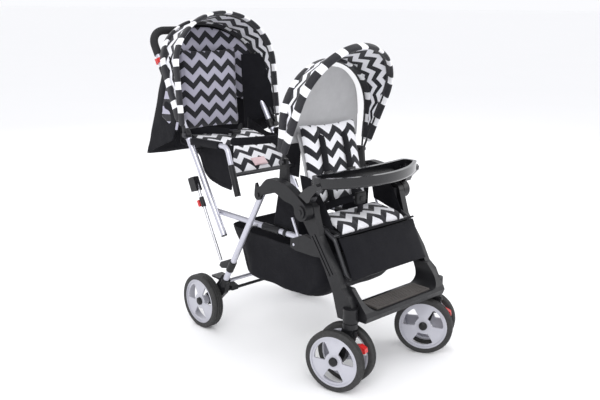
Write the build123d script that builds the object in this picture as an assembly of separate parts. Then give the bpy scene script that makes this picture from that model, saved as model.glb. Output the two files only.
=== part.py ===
from build123d import *
import math
import os

# Tandem pushchair. Millimetres. +Z up with the ground at 0, the front of the
# pushchair towards -Y, and X across it (its own right-hand side is -X).
os.makedirs("parts", exist_ok=True)

# Driving dimensions -------------------------------------------------------
ORIGIN_Y = 476.0            # frame origin, behind the caster swivel axes
WHEEL_R = 89.0
RIM_R = 73.0
REAR_WHEEL_X = 230.0
REAR_AXLE = (634.0, WHEEL_R)
REAR_WHEEL_W = 36.0
CASTER_X = 190.0
STEM_Y = 10.0               # swivel axis
TRAIL = 27.0
TWIN_X = 35.0               # each caster wheel, from the swivel axis
TWIN_W = 24.0
SWIVEL_REST = {"right": 16.0, "left": 30.0}
PIN_R = 4.0
RUNNING = 0.06              # radial clearance of a pin in its hole

HUB = (178.0, 478.0)        # front leg pivot on the armrest
ARM_REAR = (361.0, 494.0)   # rear leg pivot on the armrest
CROSS = (427.8, 378.0)      # rear leg and side link
LINK_FRONT = (CROSS[0] - ARM_REAR[0] + HUB[0], CROSS[1] - ARM_REAR[1] + HUB[1])
LINK_START = (228.0, 377.0)
LINK_REAR = (625.0, 379.0)
LEG_FOOT = (554.0, 159.0)
HANDLE_FOOT = (577.0, 315.0)
HANDLE_TOP = (972.0, 947.5)

TUBE_R = 10.0
TUBE_WALL = 1.5
LEG_R = 9.5
HANDLE_X = 182.0
LINK_X = 159.0
REAR_LEG_X = 205.0
LEG_IN = 173.0              # front leg faces
LEG_OUT = 195.0
ARM_IN = 197.0              # armrest faces
ARM_OUT = 223.0
CHEEK_IN = 215.2            # armrest beside the rear leg
SEAT_HALF = 145.0

FRONT_HOOP = (310.0, 593.0)
REAR_HOOP = (757.0, 620.0)
FRONT_RECLINE = (238.0, 436.0)
REAR_RECLINE = (872.0, 592.0)
FRONT_HALF = 176.0          # canopy hoops, half width
REAR_HALF = 202.3
FRONT_CROWN = 170.0         # and height of their arches
REAR_CROWN = 171.0
FRONT_LEANS = (-23.5, -3.5)  # hoops' backward lean, in degrees
REAR_LEANS = (8.5, 26.5, 112.0)

SIDES = (("right", -1), ("left", 1))


# Helpers ------------------------------------------------------------------
def save(name, *shapes):
    solids = [solid for shape in shapes for solid in shape.solids()]
    body = solids[0] if len(solids) == 1 else Compound(solids)
    export_step(Pos(0, -ORIGIN_Y, 0) * body, f"parts/{name}.step")


def slab(outline, x_low, x_high):
    """Plate between two X values with the given (y, z) outline."""
    wire = Polyline(*[(x_low, y, z) for y, z in outline], close=True)
    return extrude(make_face(wire), x_high - x_low, dir=(1, 0, 0))


def disc(centre, radius, x_low, x_high):
    """Round bar along X at a (y, z) centre."""
    bar = Cylinder(radius, x_high - x_low, rotation=(0, 90, 0))
    return Pos((x_low + x_high) / 2, centre[0], centre[1]) * bar


def tube(points, radius, bend=0.0, wall=0.0):
    path = FilletPolyline(*points, radius=bend) if bend else Polyline(*points)
    start = Plane(origin=path @ 0, z_dir=path % 0)
    section = start * Circle(radius)
    if wall:
        section -= start * Circle(radius - wall)
    return sweep(section, path=path)


def along(start, end, distance):
    """Point at a distance from start towards end, in (y, z)."""
    length = math.dist(start, end)
    share = distance / length
    return (start[0] + (end[0] - start[0]) * share, start[1] + (end[1] - start[1]) * share)


def span(x, start, end, radius, wall=0.0):
    """Straight tube in a plane of constant X."""
    return tube([(x, *start), (x, *end)], radius, wall=wall)


def sided(shape, side):
    """Shape drawn for the left side, mirrored for the right."""
    return shape if side > 0 else mirror(shape, Plane.YZ)


def both(shape):
    return shape, mirror(shape, Plane.YZ)


# Wheels -------------------------------------------------------------------
def tyre(width):
    tread = Pos(0, (WHEEL_R + RIM_R) / 2) * Rectangle(width, WHEEL_R - RIM_R)
    outer = tread.vertices().group_by(Axis.Y)[-1]
    tread = fillet(outer, 7.0)
    for x in (-width / 5, 0, width / 5):
        tread -= Pos(x, WHEEL_R) * Rectangle(2.0, 4.0)
    return revolve(tread, Axis.X)


def rim(width, bore):
    """Dished disc with three windows, facing +X."""
    barrel = disc((0, 0), RIM_R, -width / 2, width / 2) - disc((0, 0), RIM_R - 5, -width / 2, width / 2)
    web = disc((0, 0), RIM_R - 4, width / 2 - 8, width / 2 - 3)
    window = Circle(RIM_R - 12) - Circle(25)
    wedge = make_face(Polyline((0, 0), (100, 62), (100, -62), close=True))
    opening = fillet((window & wedge).vertices(), 5.0)
    cutter = Plane.YZ * extrude(opening, width, both=True)
    for turn in range(3):
        web -= Rot(120 * turn + 30, 0, 0) * cutter
    hub = disc((0, 0), 15, -width / 2 + 1, width / 2 - 3)
    return barrel + web + hub - disc((0, 0), bore, -width, width)


def wheel_cap():
    return revolve(make_face(Polyline((0, 0), (8, 0), (8, 6), (5, 12), (0, 13), close=True)), Axis.X)


def rear_wheels():
    for name, side in SIDES:
        place = Pos(side * REAR_WHEEL_X, *REAR_AXLE)
        save(f"rear_tyre_{name}", place * tyre(REAR_WHEEL_W))
        cap = Pos(REAR_WHEEL_W / 2 - 5, 0, 0) * wheel_cap()
        wheel = rim(REAR_WHEEL_W - 4, 5 + RUNNING)
        save(f"rear_rim_{name}", place * sided(wheel, side), place * sided(cap, side))


# Casters ------------------------------------------------------------------
FORK_ARM = [(-14, 184), (18, 184), (38, 96), (32, 76), (16, 76), (-12, 160)]


def caster_place(name, side):
    return Pos(side * CASTER_X, STEM_Y, 0) * Rot(0, 0, SWIVEL_REST[name])


def fork():
    stem = Pos(0, 0, 206) * Cylinder(8, 44)
    head = Pos(0, 0, 187.5) * Cylinder(21, 15)
    arm = slab(FORK_ARM, -13, 13)
    boss = disc((TRAIL, WHEEL_R), 15, -16, 16)
    bore = disc((TRAIL, WHEEL_R), PIN_R, -30, 30)
    return stem + head + arm + boss - bore


def suspension():
    """Ribbed column in front of the fork arm."""
    column = span(0, (-16, 176), (0, 122), 7)
    for step in range(5):
        y, z = along((-16, 176), (0, 122), 8 + 10 * step)
        ring = Pos(0, y, z) * Rot(20, 0, 0) * Cylinder(10, 4)
        column += ring
    return column - slab(FORK_ARM, -13, 13) - Pos(0, 0, 187.5) * Cylinder(21, 15)


def lock_lever():
    """Red swivel-lock tab in front of the fork."""
    return slab([(-19, 134), (-34, 138), (-50, 130), (-52, 118), (-40, 112), (-19, 120)], -9, 9)


def casters():
    for name, side in SIDES:
        place = caster_place(name, side)
        axle = disc((TRAIL, WHEEL_R), PIN_R, -TWIN_X - 9, TWIN_X + 9)
        save(f"caster_fork_{name}", place * fork(), place * suspension(), place * axle)
        save(f"swivel_lock_{name}", place * lock_lever())
        for which, turn in (("outer", side), ("inner", -side)):
            spot = place * Pos(turn * TWIN_X, TRAIL, WHEEL_R)
            save(f"front_tyre_{name}_{which}", spot * tyre(TWIN_W))
            wheel = rim(TWIN_W - 2, PIN_R + RUNNING)
            cap = Pos(TWIN_W / 2 - 2.9, 0, 0) * wheel_cap()
            save(f"front_rim_{name}_{which}", spot * sided(wheel, turn), spot * sided(cap, turn))


# Front legs and footrest ----------------------------------------------------
LEG_OUTLINE = [(130, 414), (104, 377), (65, 326), (42, 284), (16, 265), (2, 240), (-8, 197), (54, 197),
               (76, 267), (107, 323), (145, 379), (198, 446), (203, 488), (178, 504), (156, 492)]


def front_leg():
    leg = slab(LEG_OUTLINE, LEG_IN, LEG_OUT) + disc(HUB, 26, LEG_IN, LEG_OUT)
    leg += Pos(CASTER_X, STEM_Y, 217) * Cylinder(21, 40)
    for depth in (7, 19):
        start = (68 + 0.8 * depth, 322 - 0.6 * depth)
        end = (141 + 0.8 * depth, 422 - 0.6 * depth)
        channel = [start, end, (end[0] + 3.2, end[1] - 2.4), (start[0] + 3.2, start[1] - 2.4)]
        leg -= slab(channel, LEG_OUT - 3, LEG_OUT + 1)
    leg -= disc(HUB, PIN_R + RUNNING, LEG_IN - 1, LEG_OUT + 1)
    leg -= Pos(CASTER_X, STEM_Y, 212) * Cylinder(8 + RUNNING, 36)
    return leg


BRACKET_IN = 170.5
BRACKET_OUT = 186.0


def link_bracket():
    """Bracket behind the leg that carries the front end of the side link."""
    outline = [(146, 392), (206, 400), (258, 376), (258, 352), (236, 346), (160, 346), (112, 352), (112, 366)]
    plate = slab(outline, BRACKET_IN, BRACKET_OUT) - slab(LEG_OUTLINE, LEG_IN, LEG_OUT)
    return plate - disc(LINK_FRONT, PIN_R, BRACKET_IN - 1, BRACKET_OUT + 1)


def footrest():
    block = Pos(0, 10, 198) * Box(2 * LEG_IN, 190, 96, align=(Align.CENTER, Align.CENTER, Align.MIN))
    window = Pos(0, 10, 222) * Box(318, 200, 120, align=(Align.CENTER, Align.CENTER, Align.MIN))
    corners = window.edges().filter_by(Axis.Y).group_by(Axis.Z)[0]
    window = fillet(corners, 42)
    side_view = slab([(-30, 198), (-36, 214), (-30, 226), (24, 284), (80, 284), (60, 240), (56, 222), (52, 198)],
                     -LEG_IN, LEG_IN)
    rest = (block - window) & side_view
    for _, side in SIDES:
        rest -= Pos(side * CASTER_X, STEM_Y, 217) * Cylinder(21, 60)
    return rest


def tread():
    pad = Pos(0, 8, 222) * Box(232, 60, 5, align=(Align.CENTER, Align.CENTER, Align.MIN))
    for row in range(7):
        pad -= Pos(0, -16 + 8 * row, 227) * Box(212, 3, 3)
    return pad


def front_leg_frame():
    save("front_legs", *both(front_leg()), *both(link_bracket()))
    pin = disc(LINK_FRONT, PIN_R, LINK_X - 6, BRACKET_OUT)
    strut = span(181, (224, 376), (256, 440), 4) - link_bracket()
    save("bracket_rods", *both(pin), *both(strut))
    save("footrest", footrest())
    save("footrest_tread", tread())


# Rear legs ------------------------------------------------------------------
def rear_leg():
    top = along(ARM_REAR, LEG_FOOT, -12)
    leg = span(REAR_LEG_X, top, LEG_FOOT, LEG_R, TUBE_WALL)
    leg -= disc(ARM_REAR, PIN_R + RUNNING, 190, 220)
    return leg - disc(CROSS, PIN_R, 190, 206)


def leg_solid():
    return span(REAR_LEG_X, ARM_REAR, along(ARM_REAR, LEG_FOOT, 400), LEG_R)


def wheel_bracket():
    """Moulded arm from the leg's foot to the rear axle."""
    outline = [(534, 172), (558, 190), (598, 140), (646, 104), (644, 74), (622, 72), (588, 92), (546, 132)]
    arm = slab(outline, 193, 209) + disc(REAR_AXLE, 19, 193, 210)
    socket = span(REAR_LEG_X, along(LEG_FOOT, ARM_REAR, 26), along(LEG_FOOT, ARM_REAR, -3), 12.3)
    core = span(REAR_LEG_X, ARM_REAR, LEG_FOOT, LEG_R)
    body = arm + socket - core - disc(REAR_AXLE, 5, 190, 215)
    return body - disc(BRAKE_AXIS, 5 + RUNNING, 190, 204)


def leg_sleeve():
    start = along(LEG_FOOT, ARM_REAR, 66)
    sleeve = span(REAR_LEG_X, start, along(LEG_FOOT, ARM_REAR, 104), 12.3)
    lug = slab([(500, 262), (560, 236), (568, 222), (556, 216), (512, 226)], 199, 211)
    return sleeve + lug - leg_solid()


ROD_FOOT = (559.0, 227.0)
ROD_TOP = (695.0, 484.0)
BRAKE_AXIS = (553.0, 138.0)


def lock_rod():
    return span(REAR_LEG_X, along(ROD_FOOT, ROD_TOP, 12), ROD_TOP, 5) - leg_sleeve()


def lock_box():
    box = slab([(672, 450), (694, 494), (724, 482), (704, 440)], 195, 216)
    box = fillet(box.edges().filter_by(Axis.X), 4)
    return box - span(REAR_LEG_X, ROD_FOOT, ROD_TOP, 5)


def rod_point(distance, out):
    """Point up the lock rod from its foot, out to its rear side."""
    y, z = along(ROD_FOOT, ROD_TOP, distance)
    length = math.dist(ROD_FOOT, ROD_TOP)
    return (y + out * (ROD_TOP[1] - ROD_FOOT[1]) / length, z - out * (ROD_TOP[0] - ROD_FOOT[0]) / length)


def fold_button():
    body = slab([rod_point(200, 11.5), rod_point(224, 11.5), rod_point(222, 22), rod_point(202, 22)], 199, 211)
    return fillet(body.edges().filter_by(Axis.X), 2.5)


def button_seat():
    """Collar on the lock rod that the fold button is pressed against."""
    collar = span(REAR_LEG_X, rod_point(196, 0), rod_point(228, 0), 8)
    return collar - span(REAR_LEG_X, ROD_FOOT, ROD_TOP, 5)


def rear_leg_frame():
    for name, side in SIDES:
        save(f"fold_button_{name}", sided(fold_button(), side))
    save("rear_legs", *both(rear_leg()), disc((540, 174), 6, -191.5, 191.5))
    save("wheel_brackets", *both(wheel_bracket()))
    save("leg_sleeves", *both(leg_sleeve()), *both(lock_box()), *both(button_seat()))
    axle = disc(REAR_AXLE, 5, 194, REAR_WHEEL_X + 11)
    cross_pin = disc(CROSS, PIN_R, LINK_X - 6, REAR_LEG_X)
    save("rear_rods", *both(lock_rod()), *both(axle), *both(cross_pin))


def brake():
    bar = disc(BRAKE_AXIS, 5, -202, 202)
    lever = slab([(548, 132), (548, 146), (596, 160), (634, 160), (636, 152), (598, 148), (566, 132)], 150, 176)
    pedal = slab([(596, 160), (634, 160), (640, 166), (592, 166)], 146, 190)
    save("brake_bar", bar + lever + pedal + mirror(lever + pedal, Plane.YZ))


# Side links -----------------------------------------------------------------
def side_link():
    """Flat-lying tube with a lug below its front end."""
    link = span(LINK_X, LINK_START, along(LINK_REAR, LINK_START, -16), 9, TUBE_WALL)
    lug = disc(LINK_FRONT, 12, LINK_X - 7, LINK_X + 6)
    link += lug - span(LINK_X, LINK_START, LINK_REAR, 9 - TUBE_WALL)
    link -= disc(LINK_FRONT, PIN_R + 0.1, 140, 180)
    link -= disc(CROSS, PIN_R + RUNNING, 140, 180)
    return link - disc(LINK_REAR, PIN_R, 140, 180)


def side_links():
    pin = disc(LINK_REAR, PIN_R, LINK_X - 7, HANDLE_X + 5)
    save("side_links", *both(side_link()), *both(pin))
    core = span(LINK_X, LINK_START, LINK_REAR, 9)
    sleeve = span(LINK_X, along(CROSS, LINK_START, 22), along(CROSS, LINK_START, 96), 11.5)
    ring = span(LINK_X, along(CROSS, LINK_START, 118), along(CROSS, LINK_START, 128), 12)
    save("link_sleeves", *both(sleeve - core), *both(ring - core))


# Handle frame and rear seat ---------------------------------------------------
def handle_core(radius):
    return span(HANDLE_X, HANDLE_FOOT, HANDLE_TOP, radius)


def handle_frame():
    corners = [(-HANDLE_X, *HANDLE_FOOT), (-HANDLE_X, *HANDLE_TOP), (HANDLE_X, *HANDLE_TOP), (HANDLE_X, *HANDLE_FOOT)]
    handle = tube(corners, TUBE_R, bend=58, wall=TUBE_WALL)
    handle -= disc(LINK_REAR, PIN_R + RUNNING, -200, -160) + disc(LINK_REAR, PIN_R + RUNNING, 160, 200)
    save("handle_tube", handle)
    grip_foot = along(HANDLE_TOP, HANDLE_FOOT, 92)
    grip_path = [(-HANDLE_X, *grip_foot), (-HANDLE_X, *HANDLE_TOP), (HANDLE_X, *HANDLE_TOP), (HANDLE_X, *grip_foot)]
    grip = tube(grip_path, 13.5, bend=58) - tube(grip_path, TUBE_R, bend=58)
    save("handle_grip", grip)
    collar = span(HANDLE_X, along(HANDLE_TOP, HANDLE_FOOT, 138), along(HANDLE_TOP, HANDLE_FOOT, 166), 14)
    foot = span(HANDLE_X, along(HANDLE_FOOT, HANDLE_TOP, -3), HANDLE_FOOT, TUBE_R)
    sleeve = span(HANDLE_X, along(RAIL[1], RAIL[2], 58), RAIL[2], 10)
    sleeve -= span(HANDLE_X, RAIL[1], RAIL[2], 8)
    fittings = (collar - handle_core(TUBE_R), foot, sleeve, canopy_mount())
    save("handle_fittings", *[piece for fitting in fittings for piece in both(fitting)])
    slider = span(HANDLE_X, along(HANDLE_TOP, HANDLE_FOOT, 106), along(HANDLE_TOP, HANDLE_FOOT, 122), 13)
    tab = [handle_point(122, -12), handle_point(100, -12), handle_point(97, -20), handle_point(118, -21)]
    slider += slab(tab, HANDLE_X - 6, HANDLE_X + 6)
    slider -= handle_core(TUBE_R + RUNNING)
    for name, side in SIDES:
        save(f"release_slider_{name}", sided(slider, side))


def handle_point(distance, out):
    """Point at a distance down from the handle's top, out to its front side."""
    y, z = along(HANDLE_TOP, HANDLE_FOOT, distance)
    length = math.dist(HANDLE_TOP, HANDLE_FOOT)
    along_y = (HANDLE_TOP[0] - HANDLE_FOOT[0]) / length
    along_z = (HANDLE_TOP[1] - HANDLE_FOOT[1]) / length
    return (y - out * along_z, z + out * along_y)


def canopy_mount():
    """Clamp on the handle tube that carries the rear canopy's hinge."""
    clamp = span(HANDLE_X, handle_point(370, 0), handle_point(402, 0), 13.5)
    boss = disc(REAR_HOOP, 10, HANDLE_X, 198.4)
    lean = math.radians(REAR_LEANS[1])
    bow_foot = (REAR_HOOP[0] + 29 * math.sin(lean), REAR_HOOP[1] + 29 * math.cos(lean))
    lug = disc(bow_foot, 6, 192.5, 198.4) + slab([(750, 626), (766, 614), (776, 644), (765, 650)], 192.5, 198.4)
    return clamp + boss + lug - handle_core(TUBE_R) - disc(REAR_HOOP, PIN_R + RUNNING, 193, 200)


RAIL = [(748, 600), (556, 606), (504, 457)]


def rear_seat():
    rail = tube([(HANDLE_X, y, z) for y, z in RAIL], 8, bend=26, wall=TUBE_WALL) - handle_core(TUBE_R)
    save("seat_rails", *both(rail))
    cross = disc((739, 575), 7, -HANDLE_X, HANDLE_X) - handle_core(TUBE_R) - mirror(handle_core(TUBE_R), Plane.YZ)
    front_cross = disc((606, 498), 7, -SEAT_HALF, SEAT_HALF)
    side_rod = tube([(132, 862, 578), (132, 739, 575), (132, 606, 498)], 5, bend=20)
    ladder = cross + front_cross + side_rod + mirror(side_rod, Plane.YZ)
    fixed_bow = bow(REAR_HOOP, REAR_LEANS[1], (REAR_HALF - 6.8, 222, REAR_CROWN - 3), 3, start=36)
    save("rear_seat_frame", ladder, fixed_bow)
    pad = slab([(858, 586), (858, 604), (742, 596), (612, 520), (592, 488), (606, 486),
                (626, 512), (742, 583)], -SEAT_HALF, SEAT_HALF)
    pad -= disc((606, 498), 7.3, -200, 200)
    pad -= disc((739, 575), 7.3, -200, 200)
    for rod in both(tube([(132, 862, 578), (132, 739, 575), (132, 606, 498)], 5.3, bend=20)):
        pad -= rod
    save("rear_seat_pad", pad)
    panel = slab([(572, 598), (744, 592), (858, 640), (858, 575), (742, 560), (606, 470), (588, 476)], 146, 149)
    panel -= disc((739, 575), 7.3, 140, 155)
    save("rear_side_panels", *both(panel))


def bumper():
    """Padded bar across the front of the rear seat."""
    end_y = 545.0
    outer = ThreePointArc((-172, end_y, 0), (0, 500, 0), (172, end_y, 0))
    inner = ThreePointArc((-172, end_y + 13, 0), (0, 513, 0), (172, end_y + 13, 0))
    sides = [Line(outer @ 0, inner @ 0), Line(outer @ 1, inner @ 1)]
    bar = extrude(make_face([outer, inner, *sides]), 26)
    save("rear_bumper", Pos(0, 0, 608) * bar)


def rear_backrest():
    pad = slab([(864, 602), (890, 604), (906, 892), (880, 896)], -138, 138)
    pad = fillet(pad.edges().filter_by(Axis.X), 8)
    board = slab([(891, 606), (893.5, 606), (909.5, 890), (907, 890)], -130, 130)
    save("rear_back_pad", pad, board)


# Root: armrests, front seat, basket ---------------------------------------------
def armrest():
    top = Spline((HUB[0] - 26, HUB[1]), (163, 501), (192, 520), (235, 543), (285, 552), (330, 542),
                 (362, 520), (ARM_REAR[0] + 15, ARM_REAR[1]), tangents=((0, 1), (0.1, -1)))
    under = Spline((ARM_REAR[0] - 15, ARM_REAR[1] - 2), (325, 502), (285, 514), (243, 498),
                   (HUB[0] + 26, HUB[1]), tangents=((-0.4, 1), (0, -1)))
    rear = ThreePointArc(top @ 1, (ARM_REAR[0], ARM_REAR[1] - 15), under @ 0)
    front = ThreePointArc(under @ 1, (HUB[0], HUB[1] - 26), top @ 0)
    face = make_face([top, rear, under, front])
    arm = Pos(ARM_IN, 0, 0) * extrude(Plane.YZ * face, ARM_OUT - ARM_IN)
    arm -= slab([(338, 440), (400, 440), (400, 600), (338, 600)], ARM_IN - 1, CHEEK_IN)
    arm -= disc(HUB, PIN_R, ARM_IN - 1, ARM_OUT - 6)
    return arm - disc(ARM_REAR, PIN_R, ARM_IN - 1, ARM_OUT - 2)


POST_IN = 158.0
POST_OUT = 168.0


def canopy_post():
    """Bracket from the armrest in to the front canopy's hinge."""
    post = slab([(288, 520), (330, 516), (322, 604), (298, 604)], POST_IN, POST_OUT)
    bridge = slab([(288, 520), (330, 516), (327, 538), (289, 540)], POST_IN, ARM_IN)
    return post + bridge - disc(FRONT_HOOP, PIN_R + RUNNING, POST_IN - 1, POST_OUT + 1)


def armrests():
    cap = disc(HUB, 18, ARM_OUT, ARM_OUT + 4) + disc(HUB, 8, ARM_OUT + 4, ARM_OUT + 6)
    rear_cap = disc(ARM_REAR, 7, ARM_OUT, ARM_OUT + 3)
    pieces = (armrest(), canopy_post(), cap, rear_cap)
    save("armrests", *[solid for piece in pieces for solid in both(piece)])


SEAT_LINE = [(166, 436), (100, 404), (46, 300)]


def front_seat():
    x = 164.0
    left = [(x, y, z) for y, z in SEAT_LINE]
    right = [(-x, y, z) for y, z in reversed(SEAT_LINE)]
    eye = slab([(164, 490), (192, 490), (186, 436), (156, 428)], 162, 171.5) - disc(HUB, PIN_R, 163, 172)
    frame = tube(left + right, 6, bend=24)
    frame += eye + mirror(eye, Plane.YZ)
    cross = disc((112, 409), 6, -x, x) - frame
    back_cross = disc((240, 424), 6, -138, 138)
    rod = span(128, (112, 409), (240, 424), 5)
    ladder = cross + back_cross + rod + mirror(rod, Plane.YZ)
    hub_pin = disc(HUB, PIN_R, 163, ARM_OUT - 6)
    rear_pin = disc(ARM_REAR, PIN_R, REAR_LEG_X - 8, ARM_OUT - 2)
    save("front_seat_frame", frame + ladder, *both(hub_pin), *both(rear_pin))
    pad = slab([(97, 411), (102, 424), (150, 438), (226, 446), (226, 432), (150, 424), (114, 418)],
               -SEAT_HALF, SEAT_HALF)
    save("front_seat_pad", pad)
    calf = slab([(83, 414), (92, 408), (36, 296), (26, 302)], -168, 168)
    save("calf_panel", calf)
    panel = slab([(120, 426), (232, 448), (262, 560), (212, 562), (140, 470)], 146, 149)
    save("front_side_panels", *both(panel))


def harness():
    strap = slab([(160, 440), (160, 470), (163, 470), (163, 440)], -13, 13)
    buckle = slab([(152, 470), (152, 506), (164, 506), (164, 470)], -19, 19)
    save("crotch_harness", strap, fillet(buckle.edges().filter_by(Axis.X), 3))


BASKET_OUT = [(128, 348), (122, 262), (182, 204), (500, 198), (588, 334), (588, 348)]
BASKET_IN = [(132, 360), (126, 264), (184, 208), (498, 202), (584, 336), (584, 360)]


def basket():
    shell = slab(BASKET_OUT, -170, 170) - slab(BASKET_IN, -166, 166)
    save("basket", shell)


def front_backrest():
    pad = slab([(228, 452), (250, 448), (314, 684), (304, 707), (292, 705)], -126, 126)
    pad = fillet(pad.edges().filter_by(Axis.X), 6)
    save("front_back_pad", pad)
    board = slab([(251, 450), (254, 449), (315, 672), (312.5, 674)], -115, 115)
    save("front_back_cover", board)
    strap = [(226.3, 470), (224.3, 470), (268, 650), (270, 650)]
    save("shoulder_straps", *both(slab(strap, 36, 62)))


# Front tray -------------------------------------------------------------------
TRAY_HALF = 205.0
TRAY_LOW = 548.0
TRAY_TOP = 580.0


def tray_plan():
    front = ThreePointArc((-TRAY_HALF, 116), (0, 46), (TRAY_HALF, 116))
    rear = ThreePointArc((TRAY_HALF, 168), (0, 154), (-TRAY_HALF, 168))
    ends = [Line(front @ 1, rear @ 0), Line(rear @ 1, front @ 0)]
    face = make_face([front, ends[0], rear, ends[1]])
    return fillet(face.vertices(), 22)


def tray():
    body = Pos(0, 0, TRAY_LOW) * extrude(tray_plan(), TRAY_TOP - TRAY_LOW)
    body = fillet(body.edges().group_by(Axis.Z)[0], 9)
    inside = Pos(0, 0, TRAY_LOW + 12) * extrude(offset(tray_plan(), -12), 40)
    body -= inside
    for _, side in SIDES:
        body -= Pos(side * 140, 122, TRAY_LOW + 9) * Cylinder(26, 10)
    return body


def tray_arm():
    outline = [(158, 507), (190, 524), (173, 541), (150, 556), (124, 566), (117, 560), (118, 549), (126, 541),
               (141, 526), (148, 511)]
    return slab(outline, 193, 219)


def front_tray():
    table = tray()
    save("tray", table + tray_arm() + mirror(tray_arm(), Plane.YZ))


# Canopies -----------------------------------------------------------------------
def hoop_plane(hinge, lean):
    origin = (0, *hinge)
    angle = math.radians(lean)
    normal = (0, math.cos(angle), -math.sin(angle))
    return Plane(origin=origin, x_dir=(1, 0, 0), z_dir=(0, -normal[1], -normal[2]))


def hoop_path(hoop, start=0.0):
    """Upright hoop (half width, leg height, crown height) in its own plane."""
    half, legs, crown = hoop
    left = Line((-half, start), (-half, legs))
    top = EllipticalCenterArc((0, legs), half, crown, start_angle=0, arc_size=180)
    right = Line((half, legs), (half, start))
    return Wire([left, top, right])


def bow(hinge, lean, hoop, radius, start=0.0):
    path = hoop_plane(hinge, lean) * hoop_path(hoop, start)
    section = Plane(origin=path @ 0, z_dir=path % 0) * Circle(radius)
    return sweep(section, path=path)


def arch_ring(hinge, lean, hoop, start, thickness):
    half, legs, crown = hoop
    outer = hoop_path((half + thickness, legs, crown + thickness), start)
    inner = hoop_path(hoop, start)
    feet = [Line((half, start), (half + thickness, start)), Line((-half, start), (-half - thickness, start))]
    face = make_face([*outer.edges(), *inner.edges(), *feet])
    return hoop_plane(hinge, lean) * face


def cloth(hinge, first, last, thickness):
    """Fan of cloth between two hoops, each (lean, hoop, start)."""
    rings = [arch_ring(hinge, lean, hoop, start, thickness) for lean, hoop, start in (first, last)]
    return loft(rings, ruled=True)


def hinged_bow(hinge, lean, hoop, post_face):
    """Bow with an eye and an inward pin at each end."""
    half = hoop[0]
    eye = disc(hinge, 8, half - 3.5, half + 3.5)
    pin = disc(hinge, PIN_R, post_face - 5, half)
    return bow(hinge, lean, hoop, 3.5) + eye + pin + mirror(eye + pin, Plane.YZ)


def lining():
    """Light panel from the fixed front bow down behind the backrest."""
    sheet = slab([(299, 874), (302, 874), (327, 722), (327, 640), (324, 640), (324, 720)], -162, 162)
    arch = make_face([*hoop_path((162, 706, 158), 630).edges(), Line((-162, 630), (162, 630))])
    return sheet & (Pos(0, 400, 0) * extrude(Plane.XZ * arch, 200))


def canopies():
    front_hoop = (FRONT_HALF, 188, FRONT_CROWN)
    front_fixed = (FRONT_HALF - 7.2, 118, FRONT_CROWN - 4)
    rear_hoop = (REAR_HALF, 215, REAR_CROWN)
    save("front_bow", hinged_bow(FRONT_HOOP, FRONT_LEANS[0], front_hoop, POST_OUT))
    save("front_fixed_bow", bow(FRONT_HOOP, FRONT_LEANS[1], front_fixed, 3, start=11.5))
    front_last = (FRONT_LEANS[1], (FRONT_HALF + 4.2, 118, FRONT_CROWN), 45)
    front_first = (FRONT_LEANS[0], (FRONT_HALF + 4.2, 193, FRONT_CROWN + 4.2), 45)
    save("front_canopy_cloth", cloth(FRONT_HOOP, front_first, front_last, 3))
    save("front_lining", lining())
    save("rear_bow", hinged_bow(REAR_HOOP, REAR_LEANS[0], rear_hoop, 198.4))
    rear_last = (REAR_LEANS[1], (REAR_HALF + 4.2, 222, REAR_CROWN + 4.2), 45)
    rear_first = (REAR_LEANS[0], (REAR_HALF + 4.2, 217, REAR_CROWN + 4.2), 45)
    save("rear_canopy_cloth", cloth(REAR_HOOP, rear_first, rear_last, 3))
    drape_top = (REAR_LEANS[1] + 4.5, (REAR_HALF + 4.2, 190, 150), 60)
    drape_foot = (REAR_LEANS[2], (REAR_HALF + 4.2, 235, 38), 60)
    drape = cloth(REAR_HOOP, drape_top, drape_foot, 3)
    corners = [(-HANDLE_X, *HANDLE_FOOT), (-HANDLE_X, *HANDLE_TOP), (HANDLE_X, *HANDLE_TOP), (HANDLE_X, *HANDLE_FOOT)]
    save("rear_canopy_drape", drape - tube(corners, 17, bend=58))


rear_wheels()
casters()
front_leg_frame()
rear_leg_frame()
brake()
side_links()
handle_frame()
rear_seat()
bumper()
rear_backrest()
armrests()
front_seat()
harness()
basket()
front_backrest()
front_tray()
canopies()
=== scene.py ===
import math

import bmesh
import bpy
from mathutils import Matrix, Vector


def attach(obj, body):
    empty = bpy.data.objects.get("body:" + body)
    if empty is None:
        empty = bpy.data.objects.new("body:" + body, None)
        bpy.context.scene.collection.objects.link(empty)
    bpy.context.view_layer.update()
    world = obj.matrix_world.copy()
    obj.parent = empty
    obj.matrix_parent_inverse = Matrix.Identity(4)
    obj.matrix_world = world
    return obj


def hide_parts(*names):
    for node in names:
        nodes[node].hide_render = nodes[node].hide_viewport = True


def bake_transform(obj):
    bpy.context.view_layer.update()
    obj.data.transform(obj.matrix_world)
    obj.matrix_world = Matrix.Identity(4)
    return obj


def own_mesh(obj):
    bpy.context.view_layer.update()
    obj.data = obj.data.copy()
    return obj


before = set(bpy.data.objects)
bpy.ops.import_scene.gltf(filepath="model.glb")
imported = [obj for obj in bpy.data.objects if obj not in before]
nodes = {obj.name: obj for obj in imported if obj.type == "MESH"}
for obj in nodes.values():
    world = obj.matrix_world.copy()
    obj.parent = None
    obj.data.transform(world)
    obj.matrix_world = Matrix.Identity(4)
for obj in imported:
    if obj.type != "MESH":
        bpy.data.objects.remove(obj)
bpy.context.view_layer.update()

# Dimensions are the CAD model's, in metres: y is measured from the frame origin.
ORIGIN_Y = 0.476
FRONT_HINGE = (0.310 - ORIGIN_Y, 0.593)
REAR_HINGE = (0.757 - ORIGIN_Y, 0.620)
FRONT_LEANS = (-23.5, -3.5)     # canopy hoops' backward lean, in degrees
REAR_LEANS = (8.5, 26.5)
PANEL_X = 0.1475                # seat side cloth, from the middle plane
HEM_X = 0.1478
REAR_CLOTH_X = 0.1492           # cloth behind the front seat
RAIL_X = 0.182
STRAP_X = 0.050


def mm(y, z):
    """Point of the side view, from the CAD drawing's millimetres."""
    return (y / 1000 - ORIGIN_Y, z / 1000)


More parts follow.
